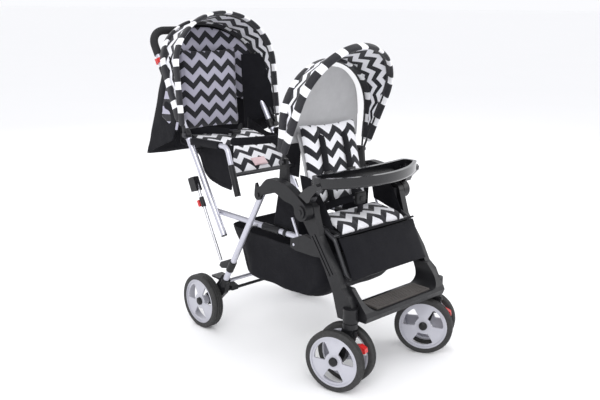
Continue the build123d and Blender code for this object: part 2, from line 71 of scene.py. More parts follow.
# Materials ------------------------------------------------------------------
class Nodes:
    """Short way to write a material's nodes."""

    def __init__(self, name):
        self.material = bpy.data.materials.new(name)
        self.material.use_nodes = True
        self.tree = self.material.node_tree
        self.shader = self.tree.nodes["Principled BSDF"]

    def add(self, kind, **values):
        node = self.tree.nodes.new(kind)
        for key, value in values.items():
            if key in node.inputs:
                node.inputs[key].default_value = value
            else:
                setattr(node, key, value)
        return node

    def link(self, start, end):
        self.tree.links.new(start, end)

    def maths(self, operation, first, second=None, third=None):
        node = self.add("ShaderNodeMath", operation=operation)
        for socket, value in zip(node.inputs, (first, second, third)):
            if value is None:
                continue
            if isinstance(value, (int, float)):
                socket.default_value = value
            else:
                self.link(value, socket)
        return node.outputs[0]

    def place(self):
        return self.add("ShaderNodeTexCoord").outputs["Object"]

    def noise(self, scale, detail=4.0, roughness=0.6):
        node = self.add("ShaderNodeTexNoise")
        node.inputs["Scale"].default_value = scale
        node.inputs["Detail"].default_value = detail
        node.inputs["Roughness"].default_value = roughness
        self.link(self.place(), node.inputs["Vector"])
        return node.outputs["Fac"]

    def ramp(self, value, low, high, output):
        """Value from 0.3 to 0.7 remapped to low..high on the shader's socket."""
        node = self.add("ShaderNodeMapRange")
        node.inputs["From Min"].default_value = 0.3
        node.inputs["From Max"].default_value = 0.7
        node.inputs["To Min"].default_value = low
        node.inputs["To Max"].default_value = high
        self.link(value, node.inputs["Value"])
        self.link(node.outputs[0], output)

    def tint(self, value, dark, light):
        node = self.add("ShaderNodeMix", data_type="RGBA")
        node.inputs[6].default_value = (*dark, 1)
        node.inputs[7].default_value = (*light, 1)
        self.link(value, node.inputs[0])
        return node.outputs[2]

    def bumps(self, *heights):
        """Chain of (height socket, strength, distance in metres)."""
        normal = None
        for height, strength, distance in heights:
            node = self.add("ShaderNodeBump")
            node.inputs["Strength"].default_value = strength
            node.inputs["Distance"].default_value = distance
            self.link(height, node.inputs["Height"])
            if normal:
                self.link(normal, node.inputs["Normal"])
            normal = node.outputs[0]
        self.link(normal, self.shader.inputs["Normal"])

    def weave(self, scale):
        """Plain weave: the product of three crossed thread waves."""
        waves = []
        for direction in ("X", "Y", "Z"):
            wave = self.add("ShaderNodeTexWave", wave_type="BANDS", bands_direction=direction)
            wave.inputs["Scale"].default_value = scale
            wave.inputs["Distortion"].default_value = 0.4
            self.link(self.place(), wave.inputs["Vector"])
            waves.append(wave.outputs["Fac"])
        return self.maths("MULTIPLY", self.maths("MULTIPLY", waves[0], waves[1]), waves[2])


def moulded(name, dark, light, low, high, grain=900.0, strength=0.25, coat=0.0):
    n = Nodes(name)
    patch = n.noise(14.0, 5.0)
    n.link(n.tint(patch, dark, light), n.shader.inputs["Base Color"])
    n.ramp(n.noise(60.0, 6.0, 0.7), low, high, n.shader.inputs["Roughness"])
    n.bumps((n.noise(grain, 2.0), strength, 0.0002), (patch, 0.05, 0.001))
    n.shader.inputs["Coat Weight"].default_value = coat
    n.shader.inputs["Coat Roughness"].default_value = 0.12
    n.shader.inputs["Specular IOR Level"].default_value = 0.3
    return n.material


def coated(name, dark, light, metallic, low, high):
    """Painted or plated metal with fine flake and soft wear."""
    n = Nodes(name)
    n.link(n.tint(n.noise(25.0, 6.0, 0.7), dark, light), n.shader.inputs["Base Color"])
    n.ramp(n.noise(180.0, 4.0), low, high, n.shader.inputs["Roughness"])
    n.shader.inputs["Metallic"].default_value = metallic
    n.shader.inputs["Coat Weight"].default_value = 0.15
    n.bumps((n.noise(1500.0, 2.0), 0.08, 0.0001))
    return n.material


def cloth_finish(n, colour, sheen, roughness=0.9):
    n.link(colour, n.shader.inputs["Base Color"])
    n.shader.inputs["Roughness"].default_value = roughness
    n.shader.inputs["Sheen Weight"].default_value = sheen
    n.shader.inputs["Sheen Roughness"].default_value = 0.5
    n.shader.inputs["Specular IOR Level"].default_value = 0.12
    n.bumps((n.noise(9.0, 3.0), 0.35, 0.012), (n.noise(45.0, 3.0), 0.25, 0.002),
            (n.weave(420.0), 0.35, 0.0004))


def fabric(name, dark, light, sheen=0.05):
    n = Nodes(name)
    cloth_finish(n, n.tint(n.noise(30.0, 6.0, 0.75), dark, light), sheen)
    return n.material


INK = (0.012, 0.012, 0.015)
INK_LIGHT = (0.03, 0.03, 0.036)


def zigzag(name, pale, paler, angle=0.0, period=0.062, pitch=0.050, height=0.028, flat_map=False):
    """Printed zigzag. Along X, rising in the YZ plane at an angle, or on a UV map in metres."""
    n = Nodes(name)
    if flat_map:
        source = n.add("ShaderNodeUVMap", uv_map="cut").outputs[0]
    else:
        source = n.place()
    parts = n.add("ShaderNodeSeparateXYZ")
    n.link(source, parts.inputs[0])
    x, y, z = parts.outputs
    across = x
    rise = y
    if not flat_map:
        rise = n.maths("ADD", n.maths("MULTIPLY", y, math.cos(angle)),
                       n.maths("MULTIPLY", z, math.sin(angle)))
    wobble = n.maths("MULTIPLY", n.maths("SUBTRACT", n.noise(700.0, 2.0), 0.5), 0.0016)
    share = n.maths("FRACT", n.maths("ADD", n.maths("DIVIDE", across, period), 50.25))
    tooth = n.maths("MULTIPLY", n.maths("ABSOLUTE", n.maths("SUBTRACT", share, 0.5)), 2 * height)
    level = n.maths("ADD", n.maths("ADD", rise, tooth), wobble)
    band = n.maths("FRACT", n.maths("ADD", n.maths("DIVIDE", level, pitch), 50.0))
    choice = n.maths("GREATER_THAN", band, 0.48)
    shade = n.noise(40.0, 6.0, 0.75)
    dark = n.tint(shade, INK, INK_LIGHT)
    light = n.tint(shade, pale, paler)
    mix = n.add("ShaderNodeMix", data_type="RGBA")
    n.link(choice, mix.inputs[0])
    n.link(dark, mix.inputs[6])
    n.link(light, mix.inputs[7])
    cloth_finish(n, mix.outputs[2], 0.2)
    return n.material


def blocks(name, period=0.075, share=0.66):
    """Edge binding cut from the same print: long dark and short pale blocks along the UV map's first axis."""
    n = Nodes(name)
    parts = n.add("ShaderNodeSeparateXYZ")
    n.link(n.add("ShaderNodeUVMap", uv_map="cut").outputs[0], parts.inputs[0])
    along = n.maths("FRACT", n.maths("ADD", n.maths("DIVIDE", parts.outputs[0], period), 20.1))
    block = n.maths("GREATER_THAN", along, share)
    piping = n.maths("GREATER_THAN", parts.outputs[1], 0.975)
    pick = n.maths("MAXIMUM", block, n.maths("MULTIPLY", piping, n.maths("LESS_THAN", along, share - 0.08)))
    shade = n.noise(40.0, 6.0, 0.75)
    mix = n.add("ShaderNodeMix", data_type="RGBA")
    n.link(pick, mix.inputs[0])
    n.link(n.tint(shade, INK, (0.04, 0.04, 0.045)), mix.inputs[6])
    n.link(n.tint(shade, (0.80, 0.80, 0.83), (0.90, 0.90, 0.92)), mix.inputs[7])
    cloth_finish(n, mix.outputs[2], 0.2)
    return n.material


def wheel_disc():
    n = Nodes("wheel_silver")
    n.link(n.tint(n.noise(20.0, 5.0), (0.42, 0.42, 0.47), (0.55, 0.55, 0.60)), n.shader.inputs["Base Color"])
    n.ramp(n.noise(90.0, 5.0), 0.32, 0.5, n.shader.inputs["Roughness"])
    n.shader.inputs["Metallic"].default_value = 0.25
    n.bumps((n.noise(900.0, 2.0), 0.12, 0.0002))
    return n.material


def tyre_rubber():
    n = Nodes("tyre_rubber")
    dust = n.noise(35.0, 8.0, 0.75)
    n.link(n.tint(dust, (0.012, 0.012, 0.013), (0.04, 0.039, 0.038)), n.shader.inputs["Base Color"])
    n.ramp(n.noise(120.0, 5.0), 0.55, 0.85, n.shader.inputs["Roughness"])
    cells = n.add("ShaderNodeTexVoronoi", feature="DISTANCE_TO_EDGE")
    cells.inputs["Scale"].default_value = 110.0
    n.link(n.place(), cells.inputs["Vector"])
    n.bumps((cells.outputs["Distance"], 0.5, 0.0016), (n.noise(1200.0, 2.0), 0.3, 0.0003))
    return n.material


M = {
    "black": moulded("moulded_black", (0.006, 0.006, 0.007), (0.013, 0.013, 0.015), 0.33, 0.52, coat=0.04),
    "gloss": moulded("gloss_black", (0.006, 0.006, 0.007), (0.011, 0.011, 0.013), 0.12, 0.24,
                     1400.0, 0.06, 0.4),
    "silver": coated("silver_tube", (0.50, 0.50, 0.57), (0.64, 0.64, 0.71), 0.65, 0.28, 0.42),
    "steel": coated("plated_steel", (0.45, 0.45, 0.47), (0.62, 0.62, 0.64), 0.95, 0.22, 0.40),
    "dark_steel": coated("black_steel", (0.018, 0.018, 0.02), (0.035, 0.035, 0.04), 0.3, 0.35, 0.5),
    "tyre": tyre_rubber(),
    "wheel": wheel_disc(),
    "red": moulded("red_moulding", (0.50, 0.012, 0.012), (0.62, 0.02, 0.02), 0.22, 0.38, 1200.0, 0.1, 0.3),
    "foam": moulded("grip_foam", (0.012, 0.012, 0.013), (0.03, 0.03, 0.032), 0.75, 0.92, 500.0, 0.9),
    "tread": moulded("tread_rubber", (0.06, 0.055, 0.052), (0.11, 0.10, 0.095), 0.6, 0.8, 700.0, 0.5),
    "black_cloth": fabric("black_oxford", (0.005, 0.005, 0.007), (0.012, 0.012, 0.015)),
    "grey_cloth": fabric("grey_lining", (0.46, 0.46, 0.47), (0.60, 0.60, 0.61)),
    "pale_cloth": fabric("pale_pink_pad", (0.70, 0.45, 0.48), (0.85, 0.72, 0.74)),
    "web": fabric("webbing", (0.006, 0.006, 0.008), (0.016, 0.016, 0.019), 0.04),
    "binding": blocks("zigzag_binding"),
    "canopy": zigzag("zigzag_canopy", (0.74, 0.74, 0.79), (0.88, 0.88, 0.92), flat_map=True),
}
WHITE = ((0.76, 0.76, 0.80), (0.90, 0.90, 0.93))
# The next colours are the pale print darkened and tinted blue: painted shade for the cloth under the rear
# canopy.
PAINTED_SHADE_PRINT = ((0.36, 0.35, 0.43), (0.46, 0.45, 0.54))

PLAIN = {
    "armrests": "black", "front_seat_frame": "dark_steel", "front_fixed_bow": "dark_steel", "tray": "gloss",
    "front_bow": "dark_steel", "front_legs": "black", "bracket_rods": "silver", "footrest": "black",
    "footrest_tread": "tread", "rear_legs": "silver", "wheel_brackets": "black", "leg_sleeves": "black",
    "rear_rods": "steel", "brake_bar": "black", "side_links": "silver", "link_sleeves": "black",
    "handle_tube": "silver", "handle_grip": "foam", "handle_fittings": "black", "seat_rails": "silver",
    "rear_seat_frame": "dark_steel", "rear_bow": "dark_steel",
}
for side in ("right", "left"):
    PLAIN[f"caster_fork_{side}"] = "black"
    for part in (f"swivel_lock_{side}", f"fold_button_{side}", f"release_slider_{side}"):
        PLAIN[part] = "red"
    PLAIN[f"rear_tyre_{side}"] = "tyre"
    PLAIN[f"rear_rim_{side}"] = "wheel"
    for which in ("outer", "inner"):
        PLAIN[f"front_tyre_{side}_{which}"] = "tyre"
        PLAIN[f"front_rim_{side}_{which}"] = "wheel"


def cap_faces(name, material):
    """The hub cap, the solid standing proudest of the wheel's disc, is black."""
    mesh = nodes[name].data
    mesh.materials.append(material)
    parent = list(range(len(mesh.vertices)))

    def root(i):
        while parent[i] != i:
            parent[i] = parent[parent[i]]
            i = parent[i]
        return i

    seen = {}
    for v in mesh.vertices:
        key = tuple(round(c, 5) for c in v.co)
        parent[v.index] = seen.setdefault(key, v.index)
    for edge in mesh.edges:
        a, b = (root(i) for i in edge.vertices)
        parent[a] = b
    groups = {}
    for face in mesh.polygons:
        groups.setdefault(root(face.vertices[0]), []).append(face)
    if len(groups) < 2:
        return
    small = min(groups.values(), key=lambda faces: sum(f.area for f in faces))
    for face in small:
        face.material_index = len(mesh.materials) - 1


for name, kind in PLAIN.items():
    piece = nodes[name]
    piece.data.materials.clear()
    piece.data.materials.append(M[kind])
    if "_rim_" in name:
        cap_faces(name, M["black"])


# Mesh helpers ------------------------------------------------------------------
def new_piece(name, points, faces, material, cut=None, smooth=True):
    mesh = bpy.data.meshes.new(name)
    mesh.from_pydata([tuple(p) for p in points], [], faces)
    mesh.update()
    if cut:
        layer = mesh.uv_layers.new(name="cut")
        for loop in mesh.loops:
            layer.data[loop.index].uv = cut[loop.vertex_index]
    for face in mesh.polygons:
        face.use_smooth = smooth
    mesh.materials.append(material)
    piece = bpy.data.objects.new(name, mesh)
    bpy.context.scene.collection.objects.link(piece)
    return piece


def thicken(piece, thickness, offset=0.0):
    modifier = piece.modifiers.new("thickness", "SOLIDIFY")
    modifier.thickness = thickness
    modifier.offset = offset


def smoother(piece, levels=1):
    modifier = piece.modifiers.new("smoother", "SUBSURF")
    modifier.levels = levels
    modifier.render_levels = levels


def grid(name, place, columns, rows, material, cut=None):
    """Sheet of columns by rows faces, placed by place(u, v) with u and v from 0 to 1."""
    points = []
    flat = []
    for j in range(rows + 1):
        for i in range(columns + 1):
            u, v = i / columns, j / rows
            points.append(place(u, v))
            flat.append(cut(u, v) if cut else (u, v))
    wide = columns + 1
    faces = [(j * wide + i, j * wide + i + 1, (j + 1) * wide + i + 1, (j + 1) * wide + i)
             for j in range(rows) for i in range(columns)]
    return new_piece(name, points, faces, material, flat)


def line_point(points, share):
    """Point and direction at a share of a side-view line's length, with its corners eased."""
    lengths = [math.dist(a, b) for a, b in zip(points, points[1:])]
    total = sum(lengths)

    def at(distance):
        distance = min(max(distance, 0.0), total)
        for (a, b), length in zip(zip(points, points[1:]), lengths):
            if distance <= length:
                t = distance / length
                return Vector((a[0] + (b[0] - a[0]) * t, a[1] + (b[1] - a[1]) * t))
            distance -= length
        return Vector(points[-1])

    reach = 0.022
    here = share * total
    soft = min(reach, here, total - here)
    spot = (at(here - soft) + at(here) * 2 + at(here + soft)) / 4
    ahead = at(here + 0.01) - at(here - 0.01)
    return spot, ahead.normalized()


def cushion(name, line, half, thickness, material, columns=44, rows=36, squareness=6.0, pull=0.006):
    """Crowned closed pad along a side-view line, with sides that pull in between its corners."""
    points = []
    for layer in (1, -1):
        for j in range(rows + 1):
            for i in range(columns + 1):
                u = 2 * i / columns - 1
                v = 2 * j / rows - 1
                spot, ahead = line_point(line, (v + 1) / 2)
                edge = max(0.0, 1 - abs(u) ** squareness) * max(0.0, 1 - abs(v) ** squareness)
                crown = thickness / 2 * (0.12 + 0.88 * edge ** 0.5)
                if edge <= 0:
                    crown = 0.0
                side = half - pull * (1 - v * v)
                spot = spot - ahead * (v * pull * (1 - u * u))
                out = Vector((-ahead.y, ahead.x))
                points.append((u * side, spot.x + layer * crown * out.x, spot.y + layer * crown * out.y))
    wide = columns + 1
    count = wide * (rows + 1)
    faces = []
    for j in range(rows):
        for i in range(columns):
            a, b, c, d = j * wide + i, j * wide + i + 1, (j + 1) * wide + i + 1, (j + 1) * wide + i
            faces.append((a, b, c, d))
            faces.append((d + count, c + count, b + count, a + count))
    piece = new_piece(name, points, faces, material)
    weld = bmesh.new()
    weld.from_mesh(piece.data)
    bmesh.ops.remove_doubles(weld, verts=weld.verts, dist=0.00005)
    bmesh.ops.recalc_face_normals(weld, faces=weld.faces)
    weld.to_mesh(piece.data)
    weld.free()
    return piece


def applied(piece):
    """Replaces the piece's mesh with its evaluated one and drops its modifiers."""
    graph = bpy.context.evaluated_depsgraph_get()
    mesh = bpy.data.meshes.new_from_object(piece.evaluated_get(graph))
    piece.modifiers.clear()
    piece.data = mesh


def puff(piece, most, voxel=0.006):
    """Inflates a pad with a short cloth simulation and keeps each point's travel below most."""
    remesh = piece.modifiers.new("remesh", "REMESH")
    remesh.mode = "VOXEL"
    remesh.voxel_size = voxel
    applied(piece)
    start = [v.co.copy() for v in piece.data.vertices]
    cloth = piece.modifiers.new("cloth", "CLOTH")
    cloth.settings.use_pressure = True
    cloth.settings.uniform_pressure_force = 4.0
    cloth.settings.effector_weights.gravity = 0.0
    cloth.settings.quality = 4
    scene = bpy.context.scene
    for step in range(1, 21):
        scene.frame_set(step)
    graph = bpy.context.evaluated_depsgraph_get()
    moved = [v.co.copy() for v in piece.evaluated_get(graph).data.vertices]
    piece.modifiers.clear()
    for vertex, before, after in zip(piece.data.vertices, start, moved):
        travel = after - before
        if travel.length > most:
            travel = travel.normalized() * most
        vertex.co = before + travel
    scene.frame_set(1)
    for face in piece.data.polygons:
        face.use_smooth = True
    smoother(piece)


def groove(piece, depth, width, distance):
    """Sewn channel: distance(point) is how far a point is from the seam."""
    normals = [v.normal.copy() for v in piece.data.vertices]
    for vertex, normal in zip(piece.data.vertices, normals):
        away = abs(distance(vertex.co))
        if away < width:
            vertex.co -= normal * depth * (1 - (away / width) ** 2) ** 2


def crumple(piece, height, scale, seed=0.0):
    """Soft wrinkles along the surface's normal."""
    from mathutils import noise
    for vertex in piece.data.vertices:
        spot = vertex.co * scale + Vector((seed, seed, seed))
        vertex.co += vertex.normal * height * noise.noise(spot)


def ribbon(name, path, half_width, thickness, material, across=(1, 0, 0)):
    """Webbing strap through points, its width along one direction."""
    wide = Vector(across).normalized()
    spots = []
    steps = 8
    for a, b in zip(path, path[1:]):
        for k in range(steps):
            spots.append(Vector(a).lerp(Vector(b), k / steps))
    spots.append(Vector(path[-1]))
    for _ in range(6):
        eased = [(a + b * 2 + c) / 4 for a, b, c in zip(spots, spots[1:], spots[2:])]
        spots = [spots[0]] + eased + [spots[-1]]
    points = []
    for index, spot in enumerate(spots):
        ahead = (spots[min(index + 1, len(spots) - 1)] - spots[max(index - 1, 0)]).normalized()
        out = wide.cross(ahead).normalized()
        side = ahead.cross(out).normalized() * half_width
        up = out * (thickness / 2)
        for corner in (-side - up * 0.4, -side * 0.9 + up, side * 0.9 + up,
                       side - up * 0.4, side * 0.9 - up, -side * 0.9 - up):
            points.append(spot + corner)
    ring = 6
    faces = []
    for k in range(len(spots) - 1):
        for i in range(ring):
            a, b = k * ring + i, k * ring + (i + 1) % ring
            faces.append((a, b, b + ring, a + ring))
    faces.append(tuple(reversed(range(ring))))
    last = (len(spots) - 1) * ring
    faces.append(tuple(last + i for i in range(ring)))
    return new_piece(name, points, faces, material)


def rounded_block(name, centre, size, material, turn=0.0, bevel=0.004):
    """Small moulded block with eased edges, turned about X."""
    block = bmesh.new()
    bmesh.ops.create_cube(block, size=1.0)
    for vertex in block.verts:
        vertex.co = Vector((vertex.co.x * size[0], vertex.co.y * size[1], vertex.co.z * size[2]))
    bmesh.ops.bevel(block, geom=list(block.edges), offset=bevel, segments=3, profile=0.5, affect="EDGES")
    block.transform(Matrix.Translation(centre) @ Matrix.Rotation(turn, 4, "X"))
    mesh = bpy.data.meshes.new(name)
    block.to_mesh(mesh)
    block.free()
    for face in mesh.polygons:
        face.use_smooth = True
    mesh.materials.append(material)
    piece = bpy.data.objects.new(name, mesh)
    bpy.context.scene.collection.objects.link(piece)
    return piece


def joined(name, pieces):
    """One object from several meshes that share a finish or a body."""
    mesh = bmesh.new()
    materials = []
    for piece in pieces:
        start = len(mesh.faces)
        mesh.from_mesh(piece.data)
        mesh.faces.ensure_lookup_table()
        slots = []
        for material in piece.data.materials:
            if material not in materials:
                materials.append(material)
            slots.append(materials.index(material))
        for face in mesh.faces[start:]:
            face.material_index = slots[face.material_index]
    data = bpy.data.meshes.new(name)
    mesh.to_mesh(data)
    mesh.free()
    for material in materials:
        data.materials.append(material)
    for piece in pieces:
        bpy.data.objects.remove(piece)
    result = bpy.data.objects.new(name, data)
    bpy.context.scene.collection.objects.link(result)
    return result


# Hoops ------------------------------------------------------------------------------
def hoop_length(hoop, start):
    half, legs, crown = hoop
    ratio = ((half - crown) / (half + crown)) ** 2
    arch = math.pi * (half + crown) * (1 + 3 * ratio / (10 + math.sqrt(4 - 3 * ratio))) / 2
    return 2 * (legs - start) + arch


def hoop_at(hoop, start, share):
    """(x, rise) at a share of a hoop's length, and the outward direction there."""
    half, legs, crown = hoop
    total = hoop_length(hoop, start)
    leg = legs - start
    arch = total - 2 * leg
    here = share * total
    if here <= leg:
        return (-half, start + here), (-1.0, 0.0)
    if here >= total - leg:
        return (half, start + total - here), (1.0, 0.0)
    angle = math.pi * (1 - (here - leg) / arch)
    x, rise = half * math.cos(angle), crown * math.sin(angle)
    out = Vector((math.cos(angle) / half, math.sin(angle) / crown)).normalized()
    return (x, legs + rise), (out.x, out.y)


def on_plane(hinge, lean, x, rise):
    angle = math.radians(lean)
    return Vector((x, hinge[0] + rise * math.sin(angle), hinge[1] + rise * math.cos(angle)))


def between(first, last, t):
    return tuple(a + (b - a) * t for a, b in zip(first, last))


def canopy_cloth(name, hinge, leans, first, last, starts, sag, material, columns=120, rows=14):
    """Cloth stretched between two hoops, dipping a little between them."""
    length = hoop_length(first, starts[0])

    def place(u, v):
        hoop = between(first, last, v)
        lean = leans[0] + (leans[1] - leans[0]) * v
        (x, rise), out = hoop_at(hoop, starts[0] + (starts[1] - starts[0]) * v, u)
        dip = sag * math.sin(math.pi * v) * (0.35 + 0.65 * math.sin(math.pi * u))
        return on_plane(hinge, lean, x - out[0] * dip, rise - out[1] * dip)

    width = math.radians(abs(leans[1] - leans[0])) * (first[1] + first[2])
    return grid(name, place, columns, rows, material, lambda u, v: (u * length, v * width))


def binding(name, hinge, lean, hoop, start, half_width=0.0145, thick=0.0058):
    """Padded edge of printed cloth wrapped over a hoop."""
    length = hoop_length(hoop, start)
    steps = 150
    ring = 14
    angle = math.radians(lean)
    back = Vector((0, math.cos(angle), -math.sin(angle)))
    points = []
    flat = []
    for k in range(steps + 1):
        share = k / steps
        (x, rise), out = hoop_at(hoop, start, share)
        centre = on_plane(hinge, lean, x, rise)
        outward = on_plane((0, 0), lean, out[0], out[1])
        block = (share * length / 0.075 + 0.1) % 1.0
        swell = 1.0 + (0.10 if block < 0.66 else -0.12)
        taper = 1.0 if 0 < k < steps else 0.55
        for i in range(ring):
            turn = 2 * math.pi * i / ring
            across = math.copysign(abs(math.cos(turn)) ** 0.7, math.cos(turn)) * half_width * taper
            up = math.copysign(abs(math.sin(turn)) ** 0.8, math.sin(turn)) * thick * swell * taper
            points.append(centre + back * across + outward * up)
            flat.append((share * length, 0.5 + 0.5 * math.cos(turn) if math.sin(turn) > -0.2 else 0.3))
    faces = [(k * ring + i, k * ring + (i + 1) % ring, (k + 1) * ring + (i + 1) % ring, (k + 1) * ring + i)
             for k in range(steps) for i in range(ring)]
    faces.append(tuple(range(ring)))
    faces.append(tuple(steps * ring + i for i in reversed(range(ring))))
    return new_piece(name, points, faces, M["binding"], flat)


FRONT_RIM = (0.180, 0.191, 0.174)
FRONT_BACK = (0.1790, 0.118, 0.170)
REAR_RIM = (0.2065, 0.217, 0.1752)
REAR_BACK = (0.2065, 0.222, 0.1752)

front_cloth = canopy_cloth("front_canopy_sheet", FRONT_HINGE, FRONT_LEANS, FRONT_RIM, FRONT_BACK,
                           (0.045, 0.045), 0.009, M["canopy"])
thicken(front_cloth, 0.0014)
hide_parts("front_canopy_cloth")
on_plane(FRONT_HINGE, FRONT_LEANS[0], 0, 0.36)
on_plane(FRONT_HINGE, FRONT_LEANS[1], 0, 0.29)
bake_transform(front_cloth)

rear_cloth = canopy_cloth("rear_canopy_sheet", REAR_HINGE, REAR_LEANS, REAR_RIM, REAR_BACK,
                          (0.045, 0.045), 0.010, M["canopy"])
thicken(rear_cloth, 0.0014)
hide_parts("rear_canopy_cloth")
on_plane(REAR_HINGE, REAR_LEANS[0], 0, 0.39)
on_plane(REAR_HINGE, REAR_LEANS[1], 0, 0.39)
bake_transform(rear_cloth)

for name, hinge, lean, hoop, start, body in (
        ("front_rim_binding", FRONT_HINGE, FRONT_LEANS[0] - 1.0, FRONT_RIM, 0.030, "front_canopy"),
        ("front_back_binding", FRONT_HINGE, FRONT_LEANS[1] - 1.0, FRONT_BACK, 0.030, "seat_frame"),
        ("rear_rim_binding", REAR_HINGE, REAR_LEANS[0] - 1.5, REAR_RIM, 0.030, "rear_canopy"),
        ("rear_back_binding", REAR_HINGE, REAR_LEANS[1] - 1.5, REAR_BACK, 0.050, "handle_frame")):
    piece = binding(name, hinge, lean, hoop, start)
    smoother(piece)
    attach(piece, body)


# Rear drape, lining and side wings ----------------------------------------------------
def drape_place(u, v):
    """Three rings: the fixed hoop, a lower one, and the square lower edge."""
    rings = ((27.5, REAR_BACK, 0.06), (31.0, (0.2065, 0.190, 0.150), 0.06),
             (112.0, (0.2065, 0.235, 0.038), 0.06))
    if v < 0.2:
        a, b, t = rings[0], rings[1], v / 0.2
    else:
        a, b, t = rings[1], rings[2], (v - 0.2) / 0.8
    (x1, r1), _ = hoop_at(a[1], a[2], u)
    (x2, r2), _ = hoop_at(b[1], b[2], u)
    spot = on_plane(REAR_HINGE, a[0], x1, r1).lerp(on_plane(REAR_HINGE, b[0], x2, r2), t)
    fold = math.sin(u * 61) * 0.5 + math.sin(u * 23 + 1.3) * 0.5
    depth = 0.004 * fold * math.sin(math.pi * min(v * 1.2, 1)) * math.sin(math.pi * u)
    hollow = -0.006 * math.sin(math.pi * v) * math.sin(math.pi * u)
    return spot + Vector((0, depth + hollow, 0))


drape = grid("rear_drape", drape_place, 110, 40, M["black_cloth"])
crumple(drape, 0.0025, 22.0)
thicken(drape, 0.0014)
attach(drape, "handle_frame")
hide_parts("rear_canopy_drape")


def inner_place(u, v):
    """Printed cloth on the child's side of the drape's upper half."""
    return drape_place(u, 0.02 + 0.55 * v) + Vector((0, -0.010, -0.008))


# Lining printed in the darkened colours: painted shade under the rear canopy.
inner_back = grid("rear_inner_back", inner_place, 80, 24,
                  zigzag("zigzag_rear_lining_painted_shade", *PAINTED_SHADE_PRINT, angle=math.pi / 2 - 0.06))
thicken(inner_back, 0.0012)
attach(inner_back, "handle_frame")


def lining_place(u, v):
    top_half = 0.158
    hoop = (top_half, 0.706, 0.156)
    line = [mm(301, 862), mm(325, 722), mm(325, 640)]
    spot, _ = line_point(line, 1 - v)
    level = spot.y
    half = top_half
    if level > hoop[1]:
        half = top_half * math.sqrt(max(0.0, 1 - ((level - hoop[1]) / hoop[2]) ** 2)) + 0.002
    x = (2 * u - 1) * half
    return Vector((x, spot.x + 0.004 * math.cos(math.pi * (u - 0.5)) * math.sin(math.pi * v), level))


lining = grid("front_lining_sheet", lining_place, 40, 40, M["grey_cloth"])
crumple(lining, 0.003, 14.0, 3.0)
thicken(lining, 0.0012)
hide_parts("front_lining")
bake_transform(lining)

for side, sign in (("right", -1), ("left", 1)):
    def wing_place(u, v, sign=sign):
        """From the backrest's edge out to the hoop's leg."""
        inner = Vector((sign * 0.1415, *mm(866 + 18 * v, 612 + 250 * v)))
        outer = on_plane(REAR_HINGE, 11.5 + 5 * v, sign * 0.2035, 0.035 + 0.225 * v)
        spot = inner.lerp(outer, u)
        return spot + Vector((-sign * 0.010 * math.sin(math.pi * u) * math.sin(math.pi * v), 0, 0))

    wing = grid(f"rear_wing_{side}", wing_place, 18, 24, M["black_cloth"])
    crumple(wing, 0.002, 25.0, 5.0)
    thicken(wing, 0.0012)
    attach(wing, "handle_frame")


# Pads --------------------------------------------------------------------------------
def finish_pad(piece, body, node):
    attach(piece, body)
    if node:
        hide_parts(*node)


back_angle = math.atan2(0.256, 0.064)
front_back = cushion("front_back_pad_sewn", [mm(240, 452), mm(302, 704)], 0.1245, 0.019,
                     zigzag("zigzag_front_back", *WHITE, angle=back_angle))
puff(front_back, 0.005)
groove(front_back, 0.0035, 0.009, lambda p: abs(p.x) - 0.049)
groove(front_back, 0.0030, 0.009, lambda p: abs(p.x) - 0.116)
finish_pad(front_back, "front_backrest", ["front_back_pad"])

cover = cushion("front_back_cover_sewn", [mm(252.5, 450), mm(314, 674)], 0.1145, 0.0035,
                M["grey_cloth"], 30, 24)
finish_pad(cover, "front_backrest", ["front_back_cover"])

front_seat = cushion("front_seat_pad_sewn",
                     [mm(96, 406), mm(101, 418), mm(120, 427), mm(152, 432), mm(226, 440)],
                     0.143, 0.014, zigzag("zigzag_front_seat", *WHITE, angle=0.12))
puff(front_seat, 0.004)
groove(front_seat, 0.003, 0.008, lambda p: abs(p.x) - 0.058)
finish_pad(front_seat, "seat_frame", ["front_seat_pad"])

# Rear backrest printed in the darkened colours: painted shade under the rear canopy. The rear seat keeps the
# pale print.
rear_back = cushion("rear_back_pad_sewn", [mm(880, 602), mm(897, 893)], 0.136, 0.021,
                    zigzag("zigzag_rear_back_painted_shade", *PAINTED_SHADE_PRINT, angle=math.pi / 2 - 0.06))
puff(rear_back, 0.006)
groove(rear_back, 0.0035, 0.009, lambda p: abs(p.x) - 0.126)
finish_pad(rear_back, "rear_backrest", ["rear_back_pad"])

rear_seat = cushion("rear_seat_pad_sewn",
                    [mm(600, 487), mm(618, 517), mm(680, 556), mm(742, 589), mm(858, 596)],
                    0.143, 0.014, zigzag("zigzag_rear_seat", *WHITE, angle=0.55))
puff(rear_seat, 0.004)
groove(rear_seat, 0.003, 0.008, lambda p: p.z - 0.570)
finish_pad(rear_seat, "handle_frame", ["rear_seat_pad"])

calf = cushion("calf_panel_sewn", [mm(88, 412), mm(31, 298)], 0.165, 0.012, M["black_cloth"], 40, 24,
               pull=0.003)
for vertex in calf.data.vertices:
    level = (vertex.co.z - 0.298) / 0.114
    bulge = 0.010 * max(0.0, math.sin(math.pi * min(max(level, 0.0), 1.0)))
    vertex.co.y -= bulge * (1 - (vertex.co.x / 0.17) ** 2)
crumple(calf, 0.0015, 20.0, 1.0)
smoother(calf)
finish_pad(calf, "seat_frame", ["calf_panel"])

piping = ribbon("calf_piping", [(-0.160, *mm(86, 417)), (-0.08, *mm(82, 418)), (0, *mm(80, 418.5)),
                                (0.08, *mm(82, 418)), (0.160, *mm(86, 417))],
                0.003, 0.006, M["black_cloth"], (0, 0.5, 1))
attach(piping, "seat_frame")


